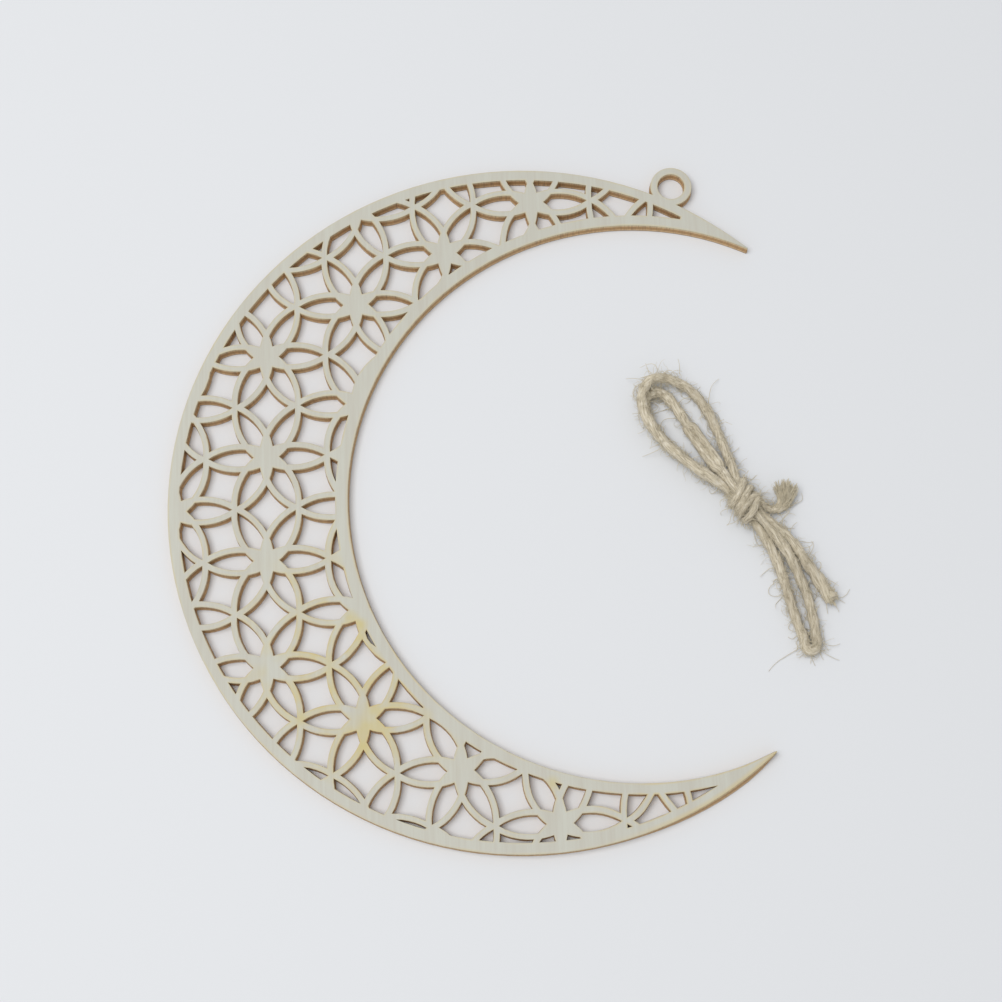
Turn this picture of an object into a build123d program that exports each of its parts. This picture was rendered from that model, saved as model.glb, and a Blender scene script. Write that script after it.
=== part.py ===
"""Laser-cut plywood crescent with a pierced rosette lattice and a hanging eyelet, and its tied hank of jute twine."""
import math
import os

from build123d import *

os.makedirs("parts", exist_ok=True)

# Driving dimensions, in millimetres
OUTER_RADIUS = 60.0
INNER_RADIUS = 49.0
INNER_OFFSET = (19.5, -0.45)
SHEET_THICKNESS = 2.0
TIP_RADIUS = 0.1
OUTER_RIM = 1.7
INNER_RIM = 2.3

# Hanging eyelet on the upper horn
EYELET_ANGLE = 62.5
EYELET_REACH = 62.8
EYELET_RADIUS = 3.65
EYELET_BORE_RADIUS = 2.4

# Rosettes on a triangular lattice: each one is six overlapping circles of narrow strands
ROSETTE_PITCH = 18.16
FIRST_ROSETTE = (-43.25, 8.29)
CIRCLE_REACH = 0.517 * ROSETTE_PITCH
CIRCLE_RADIUS = 0.559 * ROSETTE_PITCH
STRAND_WIDTH = 1.0
SQUARE_BLANK = 0.3 * ROSETTE_PITCH
SMALLEST_OPENING = 0.15
PETAL_TURNS = [60 * turn for turn in range(6)]
LATTICE_COLUMNS = range(-1, 7)
LATTICE_ROWS = range(-8, 9)

# Jute twine, drawn slimmer than its 2 mm so that its strands stay apart
TWINE_DIAMETER = 1.5
TWINE_SIDES = 6
TWINE_FLOOR = TWINE_DIAMETER / 2
SECOND_LAYER = TWINE_FLOOR + 2.0
KNOT_CENTRE = (46.6, -2.9)
KNOT_ANGLE = -55.2
KNOT_HEIGHT = 3.95
BUNDLE_HALF_WIDTH = 0.98
BUNDLE_LOW = KNOT_HEIGHT - 0.56
BUNDLE_HIGH = KNOT_HEIGHT + 1.14
BUNDLE_HALF_LENGTH = 3.6
LASHING_RADIUS = 3.4
LASHING_PITCH = 2.0
LASHING_STEPS = 8
LASHING_POINTS = 20
LASHING_START = -2.4
CORNER_SHARE = 0.45
GAP_STEP = 0.25
GAP_SKIP = 4.0


def crescent_shift():
    """X of the outer circle's centre when the crescent's box is centred on the origin."""
    reach = math.hypot(*INNER_OFFSET)
    lean = math.atan2(INNER_OFFSET[1], INNER_OFFSET[0])
    outer = OUTER_RADIUS - TIP_RADIUS
    inner = INNER_RADIUS + TIP_RADIUS
    along = (reach**2 + outer**2 - inner**2) / (2 * reach)
    across = math.sqrt(outer**2 - along**2)
    tip_x = along * math.cos(lean) - across * math.sin(lean) + TIP_RADIUS
    return (OUTER_RADIUS - tip_x) / 2


def polar(distance, angle):
    """Point at a distance and an angle from the origin."""
    turn = math.radians(angle)
    return (distance * math.cos(turn), distance * math.sin(turn))


def rosette_centre(column, row):
    """Centre of one rosette of the triangular lattice."""
    x = FIRST_ROSETTE[0] + ROSETTE_PITCH * column * math.sqrt(3) / 2
    y = FIRST_ROSETTE[1] + ROSETTE_PITCH * (row - column / 2)
    return (x, y)


ROSETTES = [rosette_centre(column, row) for column in LATTICE_COLUMNS for row in LATTICE_ROWS]
ROSETTES = [centre for centre in ROSETTES if math.hypot(*centre) < OUTER_RADIUS + ROSETTE_PITCH]

# Petal opening along +X: the lens inside two circles, less the star at the rosette's heart
with BuildSketch() as petal:
    with Locations(polar(CIRCLE_REACH, 60)):
        Circle(CIRCLE_RADIUS - STRAND_WIDTH / 2)
    with Locations(polar(CIRCLE_REACH, -60)):
        Circle(CIRCLE_RADIUS - STRAND_WIDTH / 2, mode=Mode.INTERSECT)
    with Locations(polar(CIRCLE_REACH, 120), polar(CIRCLE_REACH, -120)):
        Circle(CIRCLE_RADIUS + STRAND_WIDTH / 2, mode=Mode.SUBTRACT)

# Curved square opening midway between two rosettes that lie along X
with BuildSketch() as square:
    Circle(SQUARE_BLANK)
    with Locations(
        *[(side * ROSETTE_PITCH / 2, up * CIRCLE_REACH) for side in (-1, 1) for up in (-1, 1)]
    ):
        Circle(CIRCLE_RADIUS + STRAND_WIDTH / 2, mode=Mode.SUBTRACT)

PETAL_SPOTS = [Location((x, y, 0), turn) for x, y in ROSETTES for turn in PETAL_TURNS]
SQUARE_SPOTS = []
for x, y in ROSETTES:
    for turn in PETAL_TURNS[:3]:
        step = polar(ROSETTE_PITCH / 2, turn + 30)
        SQUARE_SPOTS.append(Location((x + step[0], y + step[1], 0), turn + 30))

# Field of the lattice: the crescent less its two rims
with BuildSketch() as field:
    Circle(OUTER_RADIUS - OUTER_RIM)
    with Locations(INNER_OFFSET):
        Circle(INNER_RADIUS + INNER_RIM, mode=Mode.SUBTRACT)

# Every opening of the lattice that lies in the field, cut off square at the rims
with BuildSketch() as lattice:
    with Locations(*PETAL_SPOTS):
        add(petal.sketch)
    with Locations(*SQUARE_SPOTS):
        add(square.sketch)
    add(field.sketch, mode=Mode.INTERSECT)
openings = [face for face in lattice.faces() if face.area > SMALLEST_OPENING]
print("openings", len(openings))

# Crescent plate: one holed face with its rounded tips, eyelet and pierced lattice
with BuildPart() as crescent:
    with BuildSketch(Plane((crescent_shift(), 0, 0))) as outline:
        Circle(OUTER_RADIUS)
        with Locations(INNER_OFFSET):
            Circle(INNER_RADIUS, mode=Mode.SUBTRACT)
        fillet(outline.vertices(), TIP_RADIUS)
        with Locations(polar(EYELET_REACH, EYELET_ANGLE)):
            Circle(EYELET_RADIUS)
            Circle(EYELET_BORE_RADIUS, mode=Mode.SUBTRACT)
        add(openings, mode=Mode.SUBTRACT)
    extrude(amount=SHEET_THICKNESS)
crescent.part.label = "crescent"
export_step(crescent.part, "parts/crescent.step")


def at_knot(along, across, height):
    """Point given along and across the lashed bundle, from the knot's centre."""
    turn = math.radians(KNOT_ANGLE)
    x = KNOT_CENTRE[0] + along * math.cos(turn) - across * math.sin(turn)
    y = KNOT_CENTRE[1] + along * math.sin(turn) + across * math.cos(turn)
    return (x, y, height)


def rounded_radii(points):
    """Largest corner radii that the runs between the points allow."""
    radii = []
    for before, corner, after in zip(points, points[1:], points[2:]):
        run_in = Vector(*corner) - Vector(*before)
        run_out = Vector(*after) - Vector(*corner)
        half_turn = math.radians(run_in.get_angle(run_out)) / 2
        radii.append(CORNER_SHARE * min(run_in.length, run_out.length) / math.tan(half_turn))
    return radii


# Route of the loops: cut end, outer loop, lower fold and inner strand, which turns back below the outer loop
LOOPS = [
    (59.4, -20.2, TWINE_FLOOR),
    (57.6, -16.9, TWINE_FLOOR),
    (55.4, -12.9, 1.3),
    (52.5, -9.3, 2.6),
    at_knot(BUNDLE_HALF_LENGTH, BUNDLE_HALF_WIDTH, BUNDLE_LOW),
    at_knot(-BUNDLE_HALF_LENGTH, BUNDLE_HALF_WIDTH, BUNDLE_LOW),
    (44.4, 5.4, 2.0),
    (43.0, 10.6, TWINE_FLOOR),
    (40.3, 15.6, TWINE_FLOOR),
    (36.6, 19.2, 1.3),
    (32.8, 20.3, SECOND_LAYER),
    (30.4, 17.2, SECOND_LAYER),
    (30.7, 12.9, SECOND_LAYER),
    (32.8, 8.7, SECOND_LAYER),
    (36.2, 5.3, SECOND_LAYER),
    (40.0, 2.7, 3.0),
    at_knot(-BUNDLE_HALF_LENGTH, -BUNDLE_HALF_WIDTH, BUNDLE_LOW),
    at_knot(BUNDLE_HALF_LENGTH, -BUNDLE_HALF_WIDTH, BUNDLE_LOW),
    (49.3, -10.6, 2.0),
    (51.3, -15.6, TWINE_FLOOR),
    (52.9, -20.6, TWINE_FLOOR),
    (54.0, -25.4, TWINE_FLOOR),
    (54.6, -28.9, TWINE_FLOOR),
    (57.4, -28.7, TWINE_FLOOR),
    (57.2, -25.2, TWINE_FLOOR),
    (56.3, -20.6, TWINE_FLOOR),
    (54.3, -15.9, 1.2),
    (51.6, -11.0, 3.6),
    at_knot(BUNDLE_HALF_LENGTH, 0, BUNDLE_HIGH),
    at_knot(-BUNDLE_HALF_LENGTH, 0, BUNDLE_HIGH),
    (42.3, 4.6, 3.6),
    (40.3, 8.6, 1.6),
    (38.0, 12.3, TWINE_FLOOR),
    (36.0, 15.6, TWINE_FLOOR),
    (33.6, 17.6, TWINE_FLOOR),
    (31.1, 16.3, TWINE_FLOOR),
    (30.9, 12.7, TWINE_FLOOR),
    (32.6, 9.0, TWINE_FLOOR),
    (35.6, 5.7, TWINE_FLOOR),
    (38.6, 3.1, TWINE_FLOOR),
]


def lashing_point(step):
    """Point of the lashing: it climbs over the bundle from its left and winds down the bundle's length."""
    angle = math.pi - step * 2 * math.pi / LASHING_STEPS
    along = LASHING_START + step * LASHING_PITCH / LASHING_STEPS
    return at_knot(along, LASHING_RADIUS * math.cos(angle), KNOT_HEIGHT + LASHING_RADIUS * math.sin(angle))


LASHING = [at_knot(-5.6, -3.6, 1.2)] + [lashing_point(step) for step in range(LASHING_POINTS)]
TAIL = [
    at_knot(3.4, 4.3, 3.2),
    (53.7, -1.9, 1.2),
    (54.5, 0.4, TWINE_FLOOR),
]

ROUTE = LOOPS + LASHING + TAIL
RADII = rounded_radii(ROUTE)
LASHING_FIRST = len(LOOPS)
TAIL_FIRST = LASHING_FIRST + len(LASHING)


def middle(index):
    """Middle of the straight run that leads to a point of the route."""
    return tuple((Vector(*ROUTE[index - 1]) + Vector(*ROUTE[index])) / 2)


def twine_length(points, radii):
    """One unbroken faceted tube of twine along straight runs and tangent arcs, and its centreline."""
    with BuildPart() as tube:
        with BuildLine() as line:
            FilletPolyline(*points, radius=radii)
        centreline = line.wire()
        with BuildSketch(Plane(centreline @ 0, z_dir=centreline % 0)):
            RegularPolygon(TWINE_DIAMETER / 2, TWINE_SIDES)
        sweep(path=centreline)
    return tube.part, centreline


# The twine's loops, the turns that lash them and its free tail, which meet face to face
hank_end = middle(LASHING_FIRST)
lashing_end = middle(TAIL_FIRST)
hank, hank_line = twine_length(LOOPS + [hank_end], RADII[: LASHING_FIRST - 1])
lashing, lashing_line = twine_length(
    [hank_end] + LASHING + [lashing_end], RADII[LASHING_FIRST - 1 : TAIL_FIRST - 1]
)
tail, tail_line = twine_length([lashing_end] + TAIL, RADII[TAIL_FIRST - 1 :])
for piece, name in ((hank, "twine_hank"), (lashing, "twine_lashing"), (tail, "twine_tail")):
    piece.label = name
    export_step(piece, f"parts/{name}.step")


def sampled(line):
    """Points along a centreline, evenly spaced."""
    count = math.ceil(line.length / GAP_STEP)
    return [line @ (index / count) for index in range(count)]


def least_gap():
    """Smallest distance between surfaces of strands that are not next to each other along the twine."""
    spots = sampled(hank_line) + sampled(lashing_line) + sampled(tail_line)
    skip = math.ceil(GAP_SKIP / GAP_STEP)
    nearest = min(
        (spots[first] - spots[second]).length
        for first in range(len(spots))
        for second in range(first + skip, len(spots))
    )
    return nearest - TWINE_DIAMETER


length = hank_line.length + lashing_line.length + tail_line.length
section = TWINE_SIDES * TWINE_DIAMETER**2 * math.sin(2 * math.pi / TWINE_SIDES) / 8
volume = hank.volume + lashing.volume + tail.volume
print("crescent box", crescent.part.bounding_box())
print("twine length", round(length, 1), "least gap", round(least_gap(), 2))
print("twine volume over section times length", round(volume / (section * length), 4))
print("corner radii", [round(radius, 1) for radius in RADII])
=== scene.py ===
"""Dresses the pierced plywood crescent and its tied hank of jute twine for a studio view."""

import bisect
import math
import random
from collections import namedtuple

import bmesh
import bpy
from bpy.props import FloatProperty, FloatVectorProperty, IntProperty, PointerProperty
from mathutils import Matrix, Quaternion, Vector


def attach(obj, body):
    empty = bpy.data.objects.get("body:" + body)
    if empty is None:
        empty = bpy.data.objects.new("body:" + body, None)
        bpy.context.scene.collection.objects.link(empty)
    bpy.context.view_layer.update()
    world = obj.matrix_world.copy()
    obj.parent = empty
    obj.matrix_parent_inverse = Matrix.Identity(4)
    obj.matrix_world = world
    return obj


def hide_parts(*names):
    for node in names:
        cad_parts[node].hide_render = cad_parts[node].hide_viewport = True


bl_info = {
    "name": "Pierced Crescent Ornament",
    "version": (1, 0, 0),
    "blender": (4, 5, 0),
    "location": "View3D > Sidebar > Ornament",
    "description": "A laser-cut plywood crescent and a tied hank of jute twine",
    "category": "Object",
}

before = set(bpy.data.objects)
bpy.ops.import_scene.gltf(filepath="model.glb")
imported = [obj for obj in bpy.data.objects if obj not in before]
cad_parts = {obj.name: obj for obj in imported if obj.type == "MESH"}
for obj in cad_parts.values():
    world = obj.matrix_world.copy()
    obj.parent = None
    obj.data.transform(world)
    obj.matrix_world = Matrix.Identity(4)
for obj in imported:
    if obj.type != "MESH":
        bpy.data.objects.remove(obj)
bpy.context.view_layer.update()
MM = 0.001


def linear(code):
    """Turns an sRGB hex colour into the linear RGBA that Blender's sockets take."""
    channels = [int(code[i:i + 2], 16) / 255 for i in (1, 3, 5)]
    return tuple(c / 12.92 if c <= 0.04045 else ((c + 0.055) / 1.055) ** 2.4 for c in channels) + (1.0,)


def colour(name, description, code):
    """A colour property with its default written as sRGB hex."""
    return FloatVectorProperty(
        name=name, description=description, subtype="COLOR", size=4, min=0.0, max=1.0, default=linear(code)
    )


def length(name, description, millimetres):
    """A length property with its default written in millimetres."""
    return FloatProperty(
        name=name, description=description, unit="LENGTH", precision=5, min=0.0, default=millimetres * MM
    )


class CrescentSettings(bpy.types.PropertyGroup):
    """Sizes and colours of the plywood crescent"""

    eased_width: length("Eased Edge", "Width of the softened edge along every cut", 0.09)
    eased_depth: length("Edge Drop", "How far the softened edge drops at the cut", 0.05)
    singed_width: length("Singed Band", "Width of the warm tint beside every cut", 0.29)
    kerf_taper: length("Kerf Taper", "How far the back stands out past the face, as the beam narrows", 0.13)
    cut_lean: length("Cut Lean", "How far the leaning cut of the lower horn adds to the taper", 0.55)
    tip_draw: length("Tip Draw", "How far the fine points of the horns run on", 0.8)
    veneer: colour("Veneer", "Pale sanded face of the basswood", "#BFBFB4")
    veneer_late: colour("Late Wood", "Slightly darker growth lines of the face", "#B9B6AA")
    singed: colour("Singed Edge", "Warm tint where the laser passed", "#C6BB98")
    smoked: colour("Smoked Edge", "Deeper tint in the smoky patch of the sheet", "#C8B47C")
    resin: colour("Resin", "Soft yellow smoke and resin stains", "#C2B477")
    cut_veneer: colour("Cut Veneer", "Toasted edge of the face and back veneers", "#DCBB8E")
    cut_core: colour("Cut Core", "Darker cut edge of the core veneer", "#BB9464")
    glue_line: colour("Glue Line", "Dark line between two veneers", "#7C5C3A")
    char: colour("Char", "Brown char at the foot of the cut", "#806451")


class TwineSettings(bpy.types.PropertyGroup):
    """Sizes and colours of the jute twine"""

    diameter: length("Diameter", "Thickness of the twine over its yarns", 2.0)
    full_length: length("Length", "Length of the whole twine from end to end", 245.0)
    lay: length("Lay", "Length of one full turn of the yarns", 6.5)
    yarns: IntProperty(name="Yarns", description="Number of yarns twisted together", default=2, min=2, max=5)
    fuzz: IntProperty(name="Fuzz", description="Short fibres that lie along the yarns", default=3300, min=0)
    hairs: IntProperty(name="Hairs", description="Curly fibres that stand off the twine", default=700, min=0)
    curls: IntProperty(name="Curls", description="Longer wiry fibres of the twine", default=230, min=0)
    jute: colour("Jute", "Main colour of the yarn", "#C8BEA7")
    jute_light: colour("Light Fibre", "Bleached fibres of the yarn", "#E0D9CA")
    jute_dark: colour("Dark Fibre", "Shaded and bast-brown fibres of the yarn", "#938874")
    loose: colour("Loose Fibre", "Fibres that have come loose", "#CFC6AF")


class StageSettings(bpy.types.PropertyGroup):
    """Floor, light and camera"""

    floor: colour("Floor", "Plain pale floor", "#DADCDF")
    focal: FloatProperty(
        name="Focal Length", description="Focal length of the camera", unit="CAMERA", min=1.0, default=60.49
    )
    key: FloatProperty(
        name="Key", description="Power of the large soft light", unit="POWER", min=0.0, default=5.2
    )
    key_side: length("Key Side", "Side of the large soft light", 550.0)
    world: FloatProperty(
        name="Sky", description="Strength of the even light all around", min=0.0, default=0.5
    )


# Sheet: the height of its face, the circles that bound its lattice, and a line just inside its outer edge
SHEET_TOP = 2.0 * MM
OUTER_CENTRE = Vector((9.476, 0.0)) * MM
INNER_CENTRE = Vector((28.976, -0.45)) * MM
OUTER_RIM_LINE = 58.3 * MM
INNER_RIM_LINE = 51.3 * MM
RIM_LINE_SLACK = 0.03 * MM
OUTER_EDGE = 59.5 * MM

# Smoke on the face, in mm: small stains with their radius, and the smoky and the scorched bed,
# each with the distances at which its tint begins and is full
STAINS = [
    ((-18.0, -21.5), 1.7),
    ((-18.5, -23.8), 1.6),
    ((-20.2, -25.8), 1.5),
    ((-23.3, -27.8), 2.0),
    ((-7.7, -37.1), 1.8),
    ((-18.1, -41.9), 2.0),
    ((-19.8, -20.0), 1.5),
    ((-28.0, -36.7), 1.6),
    ((-12.4, -42.6), 1.8),
    ((12.5, -48.8), 1.8),
]
SMOKE_BEDS = [((-18.0, -27.5), 27.0, 9.0), ((44.0, -50.0), 30.0, 12.0)]
BURNT_RIM = (59.2 * MM, 60.4 * MM)
HAZE_BELOW = (OUTER_RIM_LINE, OUTER_RIM_LINE - 0.8 * MM)
HAZE_ABOVE = (INNER_RIM_LINE - 0.6 * MM, INNER_RIM_LINE + 0.4 * MM)

# Jute fibres as the yarn's pattern draws them: their length, and their number round a yarn
DRAWN_FIBRE = 1.6 * MM
DRAWN_ROUND = 16.0


def add_node(tree, kind, sockets=None, stops=None, **settings):
    """Adds one shader node, sets its properties and ramp stops, and fills or links its inputs."""
    # A Mix node of colours has its factor at input 0, its colours at 6 and 7 and its result at output 2
    node = tree.nodes.new(kind)
    for name, value in settings.items():
        setattr(node, name, value)
    for place, shade in stops or []:
        stop = node.color_ramp.elements.new(place)
        stop.color = shade
    if stops:
        node.color_ramp.elements.remove(node.color_ramp.elements[0])
        node.color_ramp.elements.remove(node.color_ramp.elements[-1])
    for key, value in (sockets or {}).items():
        if isinstance(value, bpy.types.NodeSocket):
            tree.links.new(value, node.inputs[key])
        else:
            node.inputs[key].default_value = value
    return node


def new_material(name):
    """An empty node material with its principled shader."""
    material = bpy.data.materials.new(name)
    material.use_nodes = True
    shader = material.node_tree.nodes["Principled BSDF"]
    return material, material.node_tree, shader


def scale_of(*millimetres):
    """Mapping scale that gives a pattern the feature size in millimetres along each axis."""
    return tuple(1.0 / (size * MM) for size in millimetres)


def round_patch(tree, coords, centre, clean, full, edge="LINEAR"):
    """A factor that rises from 0 at one distance from a spot on the face to 1 at another."""
    away = add_node(
        tree, "ShaderNodeVectorMath", {0: coords, 1: (*centre, SHEET_TOP)}, operation="DISTANCE"
    )
    patch = add_node(
        tree,
        "ShaderNodeMapRange",
        {"Value": away.outputs["Value"], "From Min": clean, "From Max": full},
        interpolation_type=edge,
    )
    return patch.outputs[0]


def veneer_figure(tree, coords, look):
    """Fibre pattern of the face veneer, and its colour between early and late wood."""
    # Wood fibres are too fine to show, so bundles of them are drawn, 0.35 mm wide and 8 mm long
    fine = add_node(tree, "ShaderNodeMapping", {"Vector": coords, "Scale": scale_of(0.35, 8.0, 4.0)})
    fibre = add_node(
        tree, "ShaderNodeTexNoise", {"Vector": fine.outputs[0], "Scale": 1.0, "Detail": 3.0, "Roughness": 0.6}
    )
    # Growth lines lie some 4 mm apart and run on for 55 mm
    broad = add_node(tree, "ShaderNodeMapping", {"Vector": coords, "Scale": scale_of(4.0, 55.0, 20.0)})
    growth = add_node(tree, "ShaderNodeTexNoise", {"Vector": broad.outputs[0], "Scale": 1.0, "Detail": 2.0})
    figure = add_node(
        tree, "ShaderNodeMath", {0: fibre.outputs[0], 1: growth.outputs[0]}, operation="ADD"
    )
    late = add_node(
        tree, "ShaderNodeMapRange", {"Value": figure.outputs[0], "From Min": 0.75, "From Max": 1.25}
    )
    wood = add_node(
        tree, "ShaderNodeMix", {0: late.outputs[0], 6: look.veneer, 7: look.veneer_late}, data_type="RGBA"
    )
    return fibre.outputs[0], wood.outputs[2]


def smoke_stains(tree, coords, cloud):
    """How far the small stains tint the face, broken up by a cloud."""
    smoke = 0.0
    for spot, radius in STAINS:
        stain = round_patch(tree, coords, Vector(spot) * MM, radius * MM, 0.0, "SMOOTHSTEP")
        smoke = add_node(tree, "ShaderNodeMath", {0: smoke, 1: stain}, operation="MAXIMUM").outputs[0]
    broken = add_node(tree, "ShaderNodeMath", {0: smoke, 1: cloud}, operation="MULTIPLY", use_clamp=True)
    return broken.outputs[0]


def smoke_haze(tree, coords, cloud, smoky):
    """How far a drifting haze tints the lattice of the smoky bed, short of both rims."""
    below = round_patch(tree, coords, OUTER_CENTRE, *HAZE_BELOW)
    above = round_patch(tree, coords, INNER_CENTRE, *HAZE_ABOVE)
    lattice = add_node(tree, "ShaderNodeMath", {0: below, 1: above}, operation="MULTIPLY")
    clear = add_node(tree, "ShaderNodeMath", {0: smoky, 1: lattice.outputs[0]}, operation="MULTIPLY")
    drift = add_node(
        tree, "ShaderNodeMapRange", {"Value": cloud, "From Min": 0.36, "From Max": 0.64, "To Max": 0.7}
    )
    haze = add_node(
        tree, "ShaderNodeMath", {0: clear.outputs[0], 1: drift.outputs[0]}, operation="MULTIPLY"
    )
    return haze.outputs[0]


def singed_face(tree, coords, cloud, scorched):
    """How far the face is singed: patchily beside every cut, and along the rim of the scorched bed."""
    cut = add_node(tree, "ShaderNodeAttribute", attribute_name="cut_edge")
    patchy = add_node(
        tree,
        "ShaderNodeMapRange",
        {"Value": cloud, "From Min": 0.3, "From Max": 0.7, "To Min": 0.2, "To Max": 0.75},
    )
    band = add_node(
        tree, "ShaderNodeMath", {0: cut.outputs["Fac"], 1: patchy.outputs[0]}, operation="MULTIPLY"
    )
    rim = round_patch(tree, coords, OUTER_CENTRE, *BURNT_RIM)
    burnt = add_node(tree, "ShaderNodeMath", {0: scorched, 1: rim}, operation="MULTIPLY")
    singe = add_node(
        tree, "ShaderNodeMath", {0: band.outputs[0], 1: burnt.outputs[0]}, operation="MAXIMUM"
    )
    return singe.outputs[0]


def basswood_veneer(look):
    """Face and back of the sheet: sanded rotary-cut basswood."""
    # Pale, matt and nearly without figure, with fine straight fibres, and warm where laser and smoke passed
    material, tree, shader = new_material("sanded_basswood_veneer")
    coords = add_node(tree, "ShaderNodeTexCoord").outputs["Object"]
    fibre, wood = veneer_figure(tree, coords, look)
    # Smoke settles in clouds some 5 mm across
    clouds = add_node(tree, "ShaderNodeMapping", {"Vector": coords, "Scale": scale_of(5.0, 5.0, 5.0)})
    cloud = add_node(
        tree, "ShaderNodeTexNoise", {"Vector": clouds.outputs[0], "Scale": 1.0, "Detail": 2.0}
    ).outputs[0]
    smoky, scorched = [
        round_patch(tree, coords, Vector(spot) * MM, clean * MM, full * MM, "SMOOTHSTEP")
        for spot, clean, full in SMOKE_BEDS
    ]
    haze = smoke_haze(tree, coords, cloud, smoky)
    hazed = add_node(tree, "ShaderNodeMix", {0: haze, 6: wood, 7: look.resin}, data_type="RGBA")
    stains = smoke_stains(tree, coords, cloud)
    stained = add_node(
        tree, "ShaderNodeMix", {0: stains, 6: hazed.outputs[2], 7: look.resin}, data_type="RGBA"
    )
    toasted = add_node(tree, "ShaderNodeMath", {0: smoky, 1: scorched}, operation="MAXIMUM")
    warm = add_node(
        tree, "ShaderNodeMix", {0: toasted.outputs[0], 6: look.singed, 7: look.smoked}, data_type="RGBA"
    )
    singe = singed_face(tree, coords, cloud, scorched)
    face = add_node(
        tree, "ShaderNodeMix", {0: singe, 6: stained.outputs[2], 7: warm.outputs[2]}, data_type="RGBA"
    )
    tree.links.new(face.outputs[2], shader.inputs["Base Color"])
    rough = add_node(tree, "ShaderNodeMapRange", {"Value": fibre, "To Min": 0.58, "To Max": 0.72})
    tree.links.new(rough.outputs[0], shader.inputs["Roughness"])
    raised = add_node(tree, "ShaderNodeBump", {"Height": fibre, "Strength": 0.3, "Distance": 0.03 * MM})
    tree.links.new(raised.outputs[0], shader.inputs["Normal"])
    return material


def laser_cut_edge(look):
    """Cut walls of the sheet: laser-cut three-ply basswood."""
    # Toasted veneers round a darker core, two dark glue lines, fine upright burns and a charred foot
    material, tree, shader = new_material("laser_cut_plywood_edge")
    coords = add_node(tree, "ShaderNodeTexCoord").outputs["Object"]
    height = add_node(tree, "ShaderNodeSeparateXYZ", {"Vector": coords})
    level = add_node(
        tree, "ShaderNodeMapRange", {"Value": height.outputs["Z"], "From Min": 0.0, "From Max": SHEET_TOP}
    )
    plies = add_node(
        tree,
        "ShaderNodeValToRGB",
        {"Fac": level.outputs[0]},
        stops=[
            (0.02, look.char),
            (0.16, look.cut_veneer),
            (0.3, look.cut_veneer),
            (0.335, look.glue_line),
            (0.38, look.cut_core),
            (0.62, look.cut_core),
            (0.665, look.glue_line),
            (0.7, look.cut_veneer),
            (0.98, look.singed),
        ],
    )
    # The beam leaves burns about 0.16 mm apart, as tall as the sheet
    upright = add_node(tree, "ShaderNodeMapping", {"Vector": coords, "Scale": scale_of(0.16, 0.16, 5.0)})
    burn = add_node(tree, "ShaderNodeTexNoise", {"Vector": upright.outputs[0], "Scale": 1.0, "Detail": 2.0})
    depth = add_node(
        tree,
        "ShaderNodeMapRange",
        {"Value": burn.outputs[0], "From Min": 0.45, "From Max": 0.75, "To Max": 0.7},
    )
    edge = add_node(
        tree, "ShaderNodeMix", {0: depth.outputs[0], 6: plies.outputs[0], 7: look.char}, data_type="RGBA"
    )
    tree.links.new(edge.outputs[2], shader.inputs["Base Color"])
    shader.inputs["Roughness"].default_value = 0.78
    ribs = add_node(
        tree, "ShaderNodeBump", {"Height": burn.outputs[0], "Strength": 0.4, "Distance": 0.05 * MM}
    )
    tree.links.new(ribs.outputs[0], shader.inputs["Normal"])
    return material


def twisted_jute(look):
    """Yarns of the twine: spun jute."""
    # Matt and fibrous, grey-tan with paler and browner fibres along each yarn, and darker in patches
    material, tree, shader = new_material("spun_jute_yarn")
    coords = add_node(tree, "ShaderNodeTexCoord")
    # Jute fibres are too fine to show, so strands of them are drawn along each yarn
    along = add_node(
        tree,
        "ShaderNodeMapping",
        {"Vector": coords.outputs["UV"], "Scale": (look.full_length / DRAWN_FIBRE, DRAWN_ROUND, 1.0)},
    )
    fibre = add_node(
        tree,
        "ShaderNodeTexNoise",
        {"Vector": along.outputs[0], "Scale": 1.0, "Detail": 4.0, "Roughness": 0.65},
    )
    shade = add_node(
        tree,
        "ShaderNodeValToRGB",
        {"Fac": fibre.outputs[0]},
        stops=[(0.34, look.jute_dark), (0.5, look.jute), (0.66, look.jute_light)],
    )
    # Browner stretches come and go every 7 mm or so
    patches = add_node(
        tree, "ShaderNodeMapping", {"Vector": coords.outputs["Object"], "Scale": scale_of(7.0, 7.0, 7.0)}
    )
    patch = add_node(
        tree, "ShaderNodeTexNoise", {"Vector": patches.outputs[0], "Scale": 1.0, "Detail": 1.0}
    )
    amount = add_node(
        tree,
        "ShaderNodeMapRange",
        {"Value": patch.outputs[0], "From Min": 0.4, "From Max": 0.8, "To Max": 0.45},
    )
    yarn = add_node(
        tree,
        "ShaderNodeMix",
        {0: amount.outputs[0], 6: shade.outputs[0], 7: look.jute_dark},
        data_type="RGBA",
    )
    tree.links.new(yarn.outputs[2], shader.inputs["Base Color"])
    shader.inputs["Roughness"].default_value = 0.88
    shader.inputs["Sheen Weight"].default_value = 0.15
    raised = add_node(
        tree, "ShaderNodeBump", {"Height": fibre.outputs[0], "Strength": 0.7, "Distance": 0.12 * MM}
    )
    tree.links.new(raised.outputs[0], shader.inputs["Normal"])
    return material


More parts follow.
